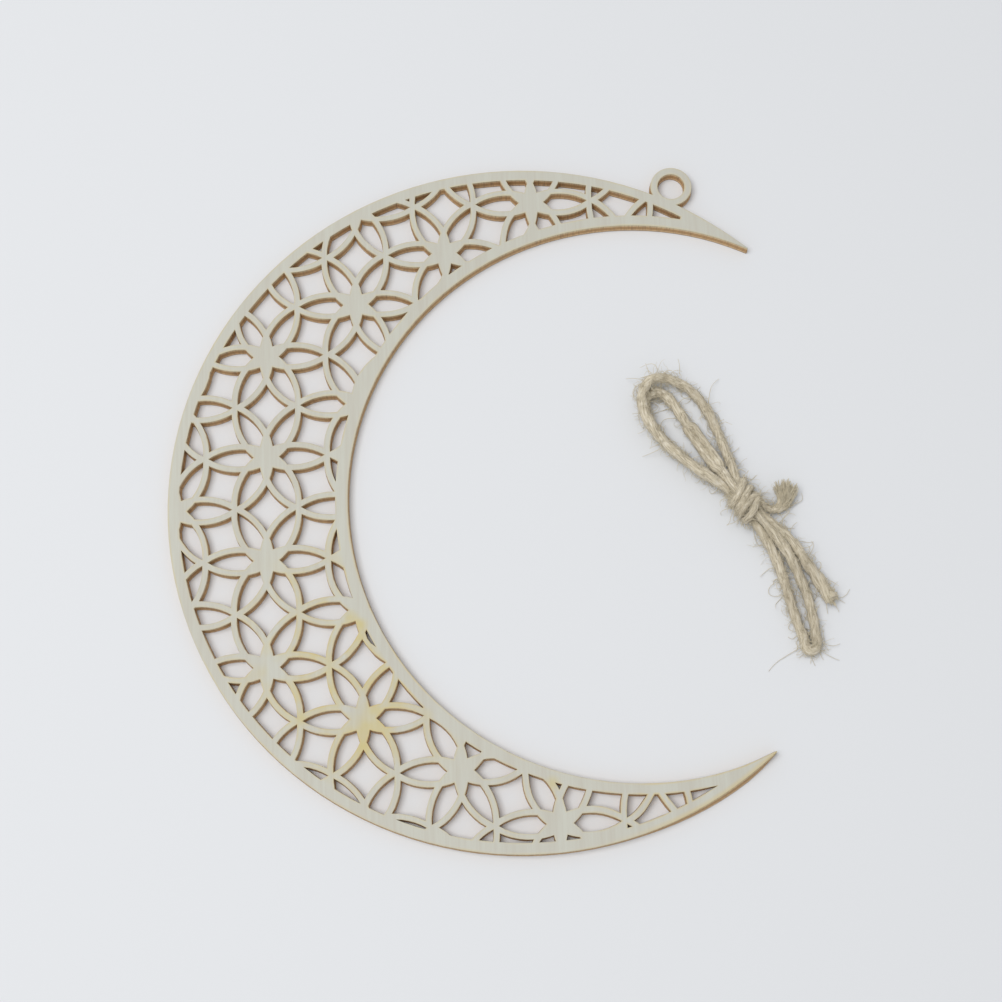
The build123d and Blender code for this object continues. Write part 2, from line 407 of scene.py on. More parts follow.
def loose_jute(look):
    """Single jute fibres that have worked loose from the yarns."""
    # Thin, dry and pale, and a little darker here and there
    material, tree, shader = new_material("loose_jute_fibre")
    coords = add_node(tree, "ShaderNodeTexCoord").outputs["Object"]
    # The tone changes over about 1.6 mm, so that neighbouring fibres differ
    tones = add_node(tree, "ShaderNodeMapping", {"Vector": coords, "Scale": scale_of(1.6, 1.6, 1.6)})
    tone = add_node(tree, "ShaderNodeTexNoise", {"Vector": tones.outputs[0], "Scale": 1.0, "Detail": 1.0})
    amount = add_node(
        tree,
        "ShaderNodeMapRange",
        {"Value": tone.outputs[0], "From Min": 0.35, "From Max": 0.75, "To Max": 0.8},
    )
    fibre = add_node(
        tree, "ShaderNodeMix", {0: amount.outputs[0], 6: look.loose, 7: look.jute}, data_type="RGBA"
    )
    tree.links.new(fibre.outputs[2], shader.inputs["Base Color"])
    shader.inputs["Roughness"].default_value = 0.7
    return material


def painted_floor(look):
    """Floor of the studio: matt paint."""
    # Even and pale, so that only the soft shadows show on it
    material, _, shader = new_material("pale_floor")
    shader.inputs["Base Color"].default_value = look.floor
    shader.inputs["Roughness"].default_value = 0.9
    return material


def add_piece(name, mesh, body, slot, *materials):
    """Links a finished mesh as a piece that rides on a body and takes the given materials; the slot is not
    used.
    """
    piece = bpy.data.objects.new(name, mesh)
    bpy.context.scene.collection.objects.link(piece)
    for material in materials:
        mesh.materials.append(material)
    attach(piece, body)
    return piece


# Points of the horns: the length that is drawn out, the half-width of the band at its root,
# and the share of the eased edge that is left at the very point
DRAWN_TIP = 7.0 * MM
TIP_ROOT = 1.5 * MM
POINT_EASE = 0.01

# Trims of the two rims, with the turns in degrees from the crescent's middle between which they
# come in, and the distances over which the lattice follows them
INNER_TRIM = 0.18 * MM
UPPER_HORN_TRIM = 0.2 * MM
LOWER_HORN_TRIM = 0.34 * MM
HORN_TURN = (40, 85)
OUTER_TRIM = 0.18 * MM
OUTER_TURN = (110, 90)
INNER_FOLLOWS = (3.2 * MM, 0.0)
OUTER_FOLLOWS = (2.4 * MM, 0.0)

# Narrow opening beside the inner rim, which is cut wider and nearly upright
SLIVER = Vector((-16.75, -24.1)) * MM
SLIVER_EDGE = 0.6 * MM
SLIVER_OPENED = 0.26 * MM
SLIVER_REACH = (1.9 * MM, 0.9 * MM)
SLIVER_UPRIGHT = (1.7 * MM, 2.6 * MM)

# Leaning cut of the lower horn's outer wall
LEANING_CUT = Vector((52.0, -44.0)) * MM
LEANING_REACH = (34 * MM, 10 * MM)
LEANING_TIP = (0.0, 5 * MM)

# Small first inset, which gives every edge its direction, and the limits that sort the sheet's parts
INSET_STEP = 0.02 * MM
MERGED = 0.002 * MM
WALL_SLOPE = 0.5
FACE_SLOPE = 0.9
CREASE = math.radians(25)


def fade(value, start, end):
    """Rises smoothly from 0 at the start to 1 at the end."""
    share = min(1.0, max(0.0, (value - start) / (end - start)))
    return share * share * (3 - 2 * share)


def horn_tips(sheet):
    """Places of the two horns' points."""
    tips = []
    for side in (1, -1):
        horn = [vert.co for vert in sheet.verts if vert.co.y * side > 0]
        tips.append(max(horn, key=lambda co: co.x).copy())
    return tips


def draw_tips(sheet, look):
    """Draws the last few millimetres of both horns out to finer points."""
    for tip in horn_tips(sheet):
        root = [v.co for v in sheet.verts if abs((v.co - tip).to_2d().length - DRAWN_TIP) < TIP_ROOT]
        away = tip - sum(root, Vector()) / len(root)
        away.z = 0.0
        away.normalize()
        for vert in sheet.verts:
            near = 1 - (vert.co - tip).to_2d().length / DRAWN_TIP
            if near > 0:
                vert.co += away * look.tip_draw * near ** 2


def turn_from_middle(spoke):
    """Turn in degrees between a spoke of one of the circles and the crescent's middle."""
    return math.degrees(abs(math.atan2(spoke.y, -spoke.x)))


def trim_rims(sheet):
    """Narrows the inner rim towards the horns and widens the outer rim, as the cut sheet shows."""
    for vert in sheet.verts:
        place = vert.co.to_2d()
        inner = place - INNER_CENTRE
        outer = place - OUTER_CENTRE
        past_inner = inner.length - INNER_RIM_LINE
        short_of_outer = OUTER_RIM_LINE - outer.length
        if min(past_inner, short_of_outer) < -RIM_LINE_SLACK:
            continue
        horn_trim = LOWER_HORN_TRIM if inner.y < 0 else UPPER_HORN_TRIM
        narrowed = INNER_TRIM + horn_trim * fade(turn_from_middle(inner), *HORN_TURN)
        widened = OUTER_TRIM * fade(turn_from_middle(outer), *OUTER_TURN)
        inner.normalize()
        outer.normalize()
        if max(past_inner, short_of_outer) < RIM_LINE_SLACK:
            move = Matrix((inner, outer)).inverted() @ Vector((-narrowed, -widened))
        elif past_inner < RIM_LINE_SLACK:
            move = -inner * narrowed
        elif short_of_outer < RIM_LINE_SLACK:
            move = -outer * widened
        else:
            move = -inner * narrowed * fade(past_inner, *INNER_FOLLOWS)
            move -= outer * widened * fade(short_of_outer, *OUTER_FOLLOWS)
            if past_inner < SLIVER_EDGE:
                move += inner * SLIVER_OPENED * fade((place - SLIVER).length, *SLIVER_REACH)
        vert.co += move.to_3d()


def edges_of(faces):
    """The edges of some faces, each once and in the order of the faces."""
    return list(dict.fromkeys(edge for face in faces for edge in face.edges))


def inset_ring(sheet, faces):
    """Insets some faces a little: the new ring, and each edge vertex with its inner one and the step."""
    ring = bmesh.ops.inset_region(
        sheet, faces=faces, thickness=INSET_STEP, use_even_offset=False, use_boundary=True
    )["faces"]
    inner = {vert for face in faces for vert in face.verts}
    pairs = [sorted(edge.verts, key=lambda vert: vert in inner) for edge in edges_of(ring)]
    return ring, [(a, b, b.co - a.co) for a, b in pairs if a not in inner and b in inner]


def taper_cut(steps, look, tips):
    """Stands the back's edges out past the face's, because the beam narrows through the sheet."""
    for edge, _, step in steps:
        place = edge.co.to_2d()
        taper = look.kerf_taper * fade((place - SLIVER).length, *SLIVER_UPRIGHT)
        if (place - OUTER_CENTRE).length > OUTER_EDGE:
            near_tip = min((edge.co - tip).to_2d().length for tip in tips)
            leaning = fade((place - LEANING_CUT).length, *LEANING_REACH)
            taper += look.cut_lean * leaning * fade(near_tip, *LEANING_TIP)
        edge.co -= step * (taper / INSET_STEP)


def soften_face(sheet, faces, cut_edge, look, tips):
    """Eases the cut edges of one face of the sheet and marks a band beside them for the singed tint."""
    side = 1 if faces[0].normal.z > 0 else -1
    for vert in {vert for face in faces for vert in face.verts}:
        vert[cut_edge] = 1.0
    _, eased = inset_ring(sheet, faces)
    ring, singed = inset_ring(sheet, faces)
    bmesh.ops.delete(sheet, geom=faces, context="FACES")
    if side < 0:
        taper_cut(eased, look, tips)
    for width, steps in ((look.eased_width, eased), (look.singed_width, singed)):
        for edge, moved, step in steps:
            reach = min((edge.co - tip).length for tip in tips)
            moved.co = edge.co + step * (width / INSET_STEP) * min(1.0, POINT_EASE + reach / DRAWN_TIP)
    for _, vert, _ in singed:
        vert[cut_edge] = 0.0
    for vert in {edge for edge, _, _ in eased}:
        vert.co.z -= side * look.eased_depth
    open_edges = [edge for edge in edges_of(ring) if edge.is_boundary]
    bmesh.ops.triangle_fill(sheet, use_beauty=True, edges=open_edges, normal=(0.0, 0.0, side))


def fretwork_mesh(look):
    """The pierced sheet with eased edges on both faces, its cut walls set apart for their own finish."""
    sheet = bmesh.new()
    sheet.from_mesh(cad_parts["crescent"].data)
    bmesh.ops.remove_doubles(sheet, verts=sheet.verts[:], dist=MERGED)
    sheet.normal_update()
    cut_edge = sheet.verts.layers.float.new("cut_edge")
    draw_tips(sheet, look)
    trim_rims(sheet)
    tips = horn_tips(sheet)
    walls = [face for face in sheet.faces if abs(face.normal.z) < WALL_SLOPE]
    for face in sheet.faces:
        face.material_index = 0
        face.smooth = False
    both = [[face for face in sheet.faces if face.normal.z * side > FACE_SLOPE] for side in (1, -1)]
    if not all(both):
        raise RuntimeError("The crescent's solid has no flat face and back to soften")
    for faces in both:
        soften_face(sheet, faces, cut_edge, look, tips)
    sheet.normal_update()
    for face in walls:
        face.material_index = 1
        face.smooth = True
    for edge in sheet.edges:
        edge.smooth = len(edge.link_faces) == 2 and edge.calc_face_angle(0.0) < CREASE
    mesh = bpy.data.meshes.new("plywood_fretwork")
    sheet.to_mesh(mesh)
    sheet.free()
    return mesh


class ORNAMENT_OT_fretwork(bpy.types.Operator):
    """Makes the pierced crescent from the sheet, with eased edges and toasted cuts"""

    bl_idname = "ornament.fretwork"
    bl_label = "Pierced Crescent"

    def execute(self, context):
        look = context.scene.ornament_crescent
        mesh = fretwork_mesh(look)
        piece = add_piece(
            "plywood_fretwork", mesh, "crescent", "plywood", basswood_veneer(look), laser_cut_edge(look)
        )
        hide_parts("crescent")
        return {"FINISHED"}


# Knot in mm: where it lies, the bundle that runs through it, and the lashing that leans and sways round it
KNOT_CENTRE = (47.3, -3.3)
KNOT_TURN = math.radians(-55.2)
KNOT_HEIGHT = 2.55
BUNDLE_REACH = 3.6
BUNDLE_SIDE = 0.9
BUNDLE_LOW = KNOT_HEIGHT - 0.35
BUNDLE_HIGH = KNOT_HEIGHT + 0.6
LASHING_ROOT = -4.4
LASHING_START = -2.4
LASHING_PITCH = 1.25
LASHING_RADIUS = 1.75
LASHING_SIDE = 2.25
LASHING_STEPS = 8
LASHING_RANGE = range(-2, 29)
LASHING_LEAN = 0.5
LEAN_SWAY = 0.4
LEAN_SWAY_STEPS = 4
PITCH_SWAY = 0.15
PITCH_SWAY_TURN = 1.3
FLOOR_LAYER = 1.15
SECOND_LAYER = 3.1


def at_knot(along, across, height):
    """A point in mm, measured along and across the bundle at the knot."""
    x = KNOT_CENTRE[0] + along * math.cos(KNOT_TURN) - across * math.sin(KNOT_TURN)
    y = KNOT_CENTRE[1] + along * math.sin(KNOT_TURN) + across * math.cos(KNOT_TURN)
    return (x, y, height)


def lashing_point(step):
    """One of the points on each turn of the lashing, whose turns lean back across the bundle."""
    angle = math.pi - step * math.tau / LASHING_STEPS
    across = LASHING_SIDE * math.cos(angle)
    lean = LASHING_LEAN * (1 + LEAN_SWAY * math.sin(step / LEAN_SWAY_STEPS))
    sway = PITCH_SWAY * math.sin(step * PITCH_SWAY_TURN)
    along = LASHING_START + step * LASHING_PITCH / LASHING_STEPS - lean * across + sway
    return at_knot(along, across, KNOT_HEIGHT + LASHING_RADIUS * math.sin(angle))


# Route of the twine in mm, from its cut end through the knot and its three loops to the lashing and the tail
CUT_LEG = [
    (60.3, -20.4, 1.65),
    (58.6, -16.9, 1.55),
    (56.6, -13.7, 1.5),
    (54.4, -9.8, 2.2),
    at_knot(BUNDLE_REACH, BUNDLE_SIDE, BUNDLE_LOW),
]
UPPER_LOOP = [
    at_knot(-BUNDLE_REACH, BUNDLE_SIDE, BUNDLE_LOW),
    (45.6, 2.8, 2.2),
    (44.7, 6.1, 1.2),
    (43.6, 9.6, FLOOR_LAYER),
    (42.5, 12.9, FLOOR_LAYER),
    (40.8, 15.8, FLOOR_LAYER),
    (39.0, 17.9, 1.4),
    (36.7, 19.0, 2.2),
    (33.7, 19.8, 2.9),
    (31.9, 18.8, SECOND_LAYER),
    (30.5, 16.2, SECOND_LAYER),
    (31.0, 13.1, SECOND_LAYER),
    (32.6, 9.7, SECOND_LAYER),
    (35.2, 6.4, SECOND_LAYER),
    (38.2, 3.7, SECOND_LAYER),
    (41.6, 1.2, 3.2),
    at_knot(-BUNDLE_REACH, -BUNDLE_SIDE, BUNDLE_LOW),
]
LOWER_LOOP = [
    at_knot(BUNDLE_REACH, -BUNDLE_SIDE, BUNDLE_LOW),
    (51.1, -11.1, 1.6),
    (52.5, -15.3, FLOOR_LAYER),
    (53.4, -19.6, FLOOR_LAYER),
    (54.3, -23.9, FLOOR_LAYER),
    (55.2, -26.2, FLOOR_LAYER),
    (55.4, -28.6, FLOOR_LAYER),
    (57.3, -28.6, FLOOR_LAYER),
    (57.3, -26.0, FLOOR_LAYER),
    (57.0, -23.0, FLOOR_LAYER),
    (56.4, -19.1, FLOOR_LAYER),
    (55.2, -15.5, 1.2),
    (53.2, -11.2, 2.6),
    at_knot(BUNDLE_REACH, 0.0, BUNDLE_HIGH),
]
INNER_LOOP = [
    at_knot(-BUNDLE_REACH, 0.0, BUNDLE_HIGH),
    (43.4, 2.5, 2.6),
    (41.6, 5.8, 1.8),
    (40.1, 8.7, 1.2),
    (38.2, 11.6, FLOOR_LAYER),
    (36.6, 14.8, FLOOR_LAYER),
    (35.3, 16.6, FLOOR_LAYER),
    (33.7, 17.7, FLOOR_LAYER),
    (31.7, 16.8, FLOOR_LAYER),
    (31.3, 13.9, FLOOR_LAYER),
    (32.9, 10.5, FLOOR_LAYER),
    (35.4, 7.2, FLOOR_LAYER),
    (38.5, 4.4, FLOOR_LAYER),
    (41.6, 1.9, FLOOR_LAYER),
]
LASHING = [at_knot(LASHING_ROOT, -BUNDLE_SIDE, FLOOR_LAYER)]
LASHING += [lashing_point(step) for step in LASHING_RANGE]
TAIL = [
    (50.5, -4.0, 1.7),
    (51.8, -4.4, 1.2),
    (53.1, -4.1, FLOOR_LAYER),
    (53.9, -3.0, 1.3),
    (54.2, -1.7, 1.5),
    (54.3, -0.5, 1.6),
]
ROUTE = CUT_LEG + UPPER_LOOP + LOWER_LOOP + INNER_LOOP + LASHING + TAIL

# Share of its thickness that the drawn-tight twine keeps, the distance from the knot's centre up to which
# it is tight, and the distance over which it loosens
TIGHT_SHARE = 0.7
TIGHT_REACH = 3.4 * MM
TIGHT_FADE = 3.0 * MM

# Stretch of the inner loop, in mm, whose yarns lie slack side by side
SLACK_YARN = [(39.6, 9.2), (40.8, 7.2), (42.1, 4.9)]
SLACK_REACH = (2.8 * MM, 1.5 * MM)

# Yarns: the thickness of each and its distance from the twine's middle as shares of the diameter,
# their uneven spinning, and how far they part and fluff up where they come undone
YARN_SEED = 5
YARN_SIDES = 4
YARN_RADIUS = 0.375
YARN_LAY = 0.07
BROAD_SWELL = 0.08
BROAD_RUN = 2.7 * MM
FINE_SWELL = 0.05
FINE_RUN = 1.1 * MM
SWELL_DRIFT = (0, 100)
CUT_END_OPENED = 9.0 * MM
TAIL_OPENED = 4.5 * MM
PARTED_UNDONE = 1.2
PARTED_SLACK = 3.0
FLUFFED_UNDONE = 0.15
FLUFFED_CUT = 0.2
FLUFFED_SLACK = 0.1
UPWARDS = Vector((0.0, 0.0, 1.0))

# Spot: a place on the twine's middle line, its distance from the cut end, and three directions there
Spot = namedtuple("Spot", "place run tangent side up")

# Twine: all its spots, their distances from the cut end, and its radius
Twine = namedtuple("Twine", "spots runs radius")


def smooth_line(places):
    """Points read along the smooth line that a row of places in mm steers."""
    line = bpy.data.curves.new("twine_route", "CURVE")
    line.dimensions = "3D"
    spline = line.splines.new("NURBS")
    spline.points.add(len(places) - 1)
    for point, place in zip(spline.points, places):
        point.co = (*(Vector(place) * MM), 1.0)
    spline.order_u = 3
    spline.use_endpoint_u = True
    spline.resolution_u = 12
    carrier = bpy.data.objects.new("twine_route", line)
    read = bpy.data.meshes.new_from_object(carrier)
    points = [v.co.copy() for v in read.vertices]
    bpy.data.meshes.remove(read)
    bpy.data.objects.remove(carrier)
    bpy.data.curves.remove(line)
    return points


def carried_spots(points):
    """Spots of the twine, whose cross directions are carried along it without turning."""
    spots = []
    run = 0.0
    for i, point in enumerate(points):
        before = points[max(i - 1, 0)]
        after = points[min(i + 1, len(points) - 1)]
        tangent = (after - before).normalized()
        run += (point - before).length
        if spots:
            bend = spots[-1].tangent.rotation_difference(tangent)
            side = (bend @ spots[-1].side).normalized()
        else:
            side = tangent.orthogonal().normalized()
        spots.append(Spot(point, run, tangent, side, tangent.cross(side)))
    return spots


def squeeze(place):
    """Share of its thickness that the twine keeps at a place, because the knot draws it tight."""
    away = (place.to_2d() - Vector(KNOT_CENTRE) * MM).length
    loose = min(1.0, max(0.0, (away - TIGHT_REACH) / TIGHT_FADE))
    return TIGHT_SHARE + (1 - TIGHT_SHARE) * loose


def slack(place):
    """How far the yarns have come apart at a place, from 0 to 1."""
    away = min((place.to_2d() - Vector(spot) * MM).length for spot in SLACK_YARN)
    return fade(away, *SLACK_REACH)


def strand_mesh(name, strands, radius, sides):
    """One mesh of round strands, each given as places with a share of the radius."""
    line = bpy.data.curves.new(name, "CURVE")
    line.dimensions = "3D"
    line.bevel_depth = radius
    line.bevel_resolution = sides
    line.use_fill_caps = True
    for strand in strands:
        spline = line.splines.new("POLY")
        spline.points.add(len(strand) - 1)
        for point, (place, share) in zip(spline.points, strand):
            point.co = (*place, 1.0)
            point.radius = share
        spline.use_smooth = True
    carrier = bpy.data.objects.new(name, line)
    mesh = bpy.data.meshes.new_from_object(carrier)
    mesh.name = name
    bpy.data.objects.remove(carrier)
    bpy.data.curves.remove(line)
    return mesh


def yarn_point(spot, whole, phase, drift, look):
    """A place on the middle line of one yarn, and the share of its thickness there."""
    turn = phase + math.tau * spot.run / look.lay
    opened = max(0.0, 1 - spot.run / CUT_END_OPENED)
    undone = max(opened, 1 - (whole - spot.run) / TAIL_OPENED)
    swell = 1 + BROAD_SWELL * math.sin(spot.run / BROAD_RUN + drift)
    swell += FINE_SWELL * math.sin(spot.run / FINE_RUN + 2 * drift)
    share = squeeze(spot.place)
    spread = slack(spot.place)
    reach = look.diameter * YARN_LAY * share * (1 + PARTED_UNDONE * undone + PARTED_SLACK * spread)
    across = spot.tangent.cross(UPWARDS) * math.cos(phase)
    out = (spot.side * math.cos(turn) + spot.up * math.sin(turn)).lerp(across, spread)
    fluffed = 1 + FLUFFED_UNDONE * undone + FLUFFED_CUT * opened + FLUFFED_SLACK * spread
    return spot.place + out * reach, swell * share * fluffed


# Loose fibre: the angles from the twine between which it leaves, the mm between which its points lie apart,
# the number of its points, the most that it turns at each, and how far it sinks at each
Fibre = namedtuple("Fibre", "lean step points curl sag")
FUZZ = Fibre(lean=(0.05, 0.5), step=(0.22, 0.45), points=5, curl=0.4, sag=0.03)
HAIR = Fibre(lean=(0.4, 1.3), step=(0.18, 0.46), points=8, curl=0.75, sag=0.06)
WIRY_HAIR = Fibre(lean=(0.3, 1.2), step=(0.15, 0.48), points=11, curl=0.5, sag=0.05)
WORN_HAIR = Fibre(lean=(0.5, 1.4), step=(0.2, 0.42), points=7, curl=0.6, sag=0.06)
FIBRE_SEED = 12
FIBRE_SIDES = 0
FIBRE_FLOOR = 0.1 * MM
FIBRE_DEPTH = (0.66, 0.86)
FIBRE_TWIST = (-0.5, 0.7)
FIBRE_TAPER = 0.6
FIBRE_BEND = 0.4
FIBRE_TURN = (0.5, 1.0)
FUZZ_RADIUS = 0.035 * MM
HAIR_RADIUS = 0.036 * MM
WIRY_SHARE = 1.8

# Spots in mm where the twine is worn, with the number of hairs that stand up there
WORN = [((56.3, -28.6), 70), ((33.5, 19.6), 60), ((32.4, 17.2), 45), ((30.8, 15.0), 35)]
WORN_REACH = 2.6 * MM

# Cut end: which end it is, its number of tufts, and how far in they start, how wide they open and how far
# they go past it
CutEnd = namedtuple("CutEnd", "end tufts depth flare past")
CUT_ENDS = [
    CutEnd(end=0, tufts=30, depth=2.6 * MM, flare=1.4 * MM, past=0.0),
    CutEnd(end=-1, tufts=46, depth=4.6 * MM, flare=2.2 * MM, past=0.3 * MM),
]

# Tufts of a cut end: the uneven trim and the rounding of the brush in mm, and the spread in each tuft
TUFT_TRIM = (-1.4, 1.0)
TUFT_ROUNDING = 0.9
TUFT_DRIFT = 0.4
TUFT_FIBRES = 10
FRAY_RADIUS = 0.075 * MM
FRAY_POINTS = 8
FRAY_TURN = 0.22
FRAY_DRIFT = 0.12
FRAY_FLARE = (0.8, 1.15)
FRAY_TRIM = 0.28
FRAY_START = (0.7, 1.1)
FRAY_CORE = 0.8
FRAY_OPENING = 1.4
FRAY_SHAKE = 0.07 * MM
FRAY_TAPER = 0.4

# Single hairs that stand out, from root to tip in mm
STRAYS = [
    [(37.6, 20.2, 2.4), (37.9, 22.0, 2.0), (37.5, 23.6, 1.6)],
    [(42.2, 14.4, 1.6), (42.6, 17.0, 1.4), (43.5, 19.0, 0.8), (45.1, 20.0, 0.4)],
    [(34.3, 7.3, 2.6), (32.4, 6.4, 1.6), (29.8, 6.0, 0.3)],
    [(54.6, -28.0, 0.6), (52.1, -29.3, 0.3), (49.9, -30.6, 0.2), (48.7, -32.2, 0.1)],
    [(57.4, -28.2, 1.0), (59.2, -29.9, 0.5), (61.5, -30.5, 0.2)],
    [(58.2, -27.4, 1.2), (60.1, -28.6, 0.8), (61.6, -27.3, 0.3)],
    [(56.0, -29.0, 0.8), (56.5, -30.3, 0.3), (57.0, -31.4, 0.1)],
    [(48.3, -6.6, 1.0), (48.5, -9.6, 0.3), (49.5, -10.6, 0.4), (50.4, -10.2, 0.8)],
    [(61.0, -19.9, 0.8), (63.2, -20.2, 0.4), (64.0, -17.8, 0.2)],
    [(51.8, -16.6, 1.0), (50.0, -17.4, 0.5), (50.2, -19.4, 0.3), (52.6, -19.2, 0.8)],
    [(31.4, 19.2, 2.6), (29.5, 20.3, 1.6), (28.0, 20.2, 0.6)],
    [(54.2, -8.7, 1.6), (55.0, -6.9, 1.0), (56.2, -6.4, 0.4)],
    [(59.6, -20.8, 0.8), (59.5, -21.7, 0.5), (59.8, -22.7, 0.2)],
    [(61.0, -21.1, 0.8), (61.4, -21.7, 0.5), (61.7, -22.4, 0.2)],
    [(61.5, -20.1, 0.8), (62.1, -20.3, 0.5), (63.0, -20.9, 0.2)],
    [(56.3, -29.2, 0.8), (56.2, -30.1, 0.4), (56.1, -30.9, 0.2)],
    [(57.7, -29.0, 0.8), (58.0, -29.8, 0.4), (58.4, -30.3, 0.2)],
    [(58.4, -27.6, 0.8), (58.9, -28.0, 0.5), (59.4, -28.9, 0.2)],
    [(58.1, -27.1, 1.0), (58.9, -26.7, 0.6), (58.5, -25.8, 0.9)],
    [(52.8, -21.4, 0.8), (52.6, -22.2, 0.4), (53.1, -23.1, 0.6)],
    [(53.6, -23.5, 0.9), (52.8, -24.4, 0.4), (53.1, -25.0, 0.4), (54.0, -25.4, 0.8)],
    [(45.9, -5.3, 1.0), (45.9, -6.0, 0.5), (46.0, -6.5, 0.2)],
    [(54.4, -3.8, 1.0), (56.4, -3.2, 0.6), (57.5, -2.4, 0.3), (57.0, -0.8, 0.2)],
    [(49.7, -1.7, 1.4), (50.8, -0.9, 0.8), (52.2, -1.3, 0.3)],
    [(57.1, -13.0, 1.2), (57.9, -13.4, 0.8), (58.4, -12.2, 0.3)],
    [(30.6, 18.3, 3.0), (29.5, 18.0, 2.4), (29.2, 16.5, 2.2), (30.0, 15.1, 2.8)],
    [(30.2, 13.9, 3.0), (29.8, 12.0, 1.8), (30.9, 10.7, 1.4)],
    [(37.0, 12.4, 1.6), (35.1, 12.9, 0.8), (33.9, 12.1, 0.6), (33.6, 10.6, 0.8)],
    [(42.6, 13.6, 1.2), (44.3, 12.4, 0.6), (44.7, 11.2, 0.3)],
    [(37.9, 6.3, 1.0), (36.4, 7.2, 0.8), (35.8, 8.4, 0.6)],
    [(37.6, 14.2, 1.4), (38.9, 13.0, 0.9), (39.9, 11.2, 0.5), (40.5, 9.8, 0.3)],
    [(45.6, 5.9, 1.2), (46.6, 6.4, 0.7), (47.3, 7.4, 0.3)],
    [(32.3, 20.2, 3.0), (32.1, 21.7, 2.4), (31.8, 22.8, 1.8)],
]
STRAY_STRIDE = 4
STRAY_SHARE = 1.5
STRAY_TAPER = 0.7


def anywhere(chance, twine):
    """A spot drawn from the whole length of the twine."""
    return twine.spots[bisect.bisect_left(twine.runs, chance.uniform(0, twine.runs[-1]))]


def fibre_root(chance, spot, radius, lean):
    """A place on the twine's surface and the direction in which a fibre leaves it."""
    turn = chance.uniform(0, math.tau)
    out = spot.side * math.cos(turn) + spot.up * math.sin(turn)
    rise = chance.uniform(*lean)
    ahead = spot.tangent * chance.choice((-1, 1)) + out.cross(spot.tangent) * chance.uniform(*FIBRE_TWIST)
    place = spot.place + out * radius * squeeze(spot.place) * chance.uniform(*FIBRE_DEPTH)
    return place, ahead.normalized() * math.cos(rise) + out * math.sin(rise)


def loose_fibre(chance, spot, radius, kind):
    """A fibre that leaves the twine at a spot and curls as it goes, lying on the floor where it meets it."""
    place, heading = fibre_root(chance, spot, radius, kind.lean)
    step = chance.uniform(*kind.step) * MM
    bend = Vector([chance.gauss(0, 1) for _ in range(3)]).normalized()
    strand = []
    for i in range(kind.points):
        strand.append((place.copy(), 1.0 - FIBRE_TAPER * i / kind.points))
        bend = (bend + Vector([chance.gauss(0, FIBRE_BEND) for _ in range(3)])).normalized()
        heading = Quaternion(bend, kind.curl * chance.uniform(*FIBRE_TURN)) @ heading
        heading = (heading - UPWARDS * kind.sag).normalized()
        place = place + heading * step
        place.z = max(place.z, FIBRE_FLOOR)
    return strand


def worn_hairs(chance, twine):
    """Hairs that stand up where the twine is worn."""
    hairs = []
    for worn, count in WORN:
        middle = Vector(worn) * MM
        close = [spot for spot in twine.spots if (spot.place.to_2d() - middle).length < WORN_REACH]
        for _ in range(count):
            hairs.append(loose_fibre(chance, chance.choice(close), twine.radius, WORN_HAIR))
    return hairs


def stray_hair(places):
    """A single hair along a row of places, thinner towards its tip."""
    line = smooth_line(places)[::STRAY_STRIDE]
    return [(place, STRAY_SHARE - STRAY_TAPER * i / len(line)) for i, place in enumerate(line)]


def cut_end_fibre(chance, twine, end, start, tip, bearing, root, spread):
    """One fibre of a cut end, from inside the twine to past its end."""
    away = twine.spots[end].tangent * (-1 if end == 0 else 1)
    turn, drift = bearing
    strand = []
    for i in range(FRAY_POINTS):
        along = i / (FRAY_POINTS - 1)
        left = start * (1 - along) - tip * along
        run = max(left, 0.0) if end == 0 else twine.runs[-1] - max(left, 0.0)
        spot = twine.spots[min(bisect.bisect_left(twine.runs, run), len(twine.runs) - 1)]
        swing = turn + drift * along
        out = spot.side * math.cos(swing) + spot.up * math.sin(swing)
        reach = root * squeeze(spot.place) * (1 - along) + spread * along ** FRAY_OPENING
        place = spot.place + out * reach + away * max(-left, 0.0)
        place += Vector([chance.gauss(0, FRAY_SHAKE) for _ in range(3)])
        place.z = max(place.z, FIBRE_FLOOR)
        strand.append((place, 1.0 - FRAY_TAPER * along))
    return strand


def cut_end_tuft(chance, twine, cut):
    """One tuft of a cut end, where the yarns come undone and open out like a brush."""
    turn = chance.uniform(0, math.tau)
    share = math.sqrt(chance.random())
    past = cut.past + (chance.uniform(*TUFT_TRIM) - TUFT_ROUNDING * share ** 2) * MM
    drift = chance.gauss(0, TUFT_DRIFT)
    root = twine.radius * FRAY_CORE * share
    tuft = []
    for _ in range(TUFT_FIBRES):
        bearing = (turn + chance.gauss(0, FRAY_TURN), drift + chance.gauss(0, FRAY_DRIFT))
        spread = cut.flare * share * chance.uniform(*FRAY_FLARE)
        tip = past + chance.gauss(0, FRAY_TRIM) * MM
        start = cut.depth * chance.uniform(*FRAY_START)
        tuft.append(cut_end_fibre(chance, twine, cut.end, start, tip, bearing, root, spread))
    return tuft


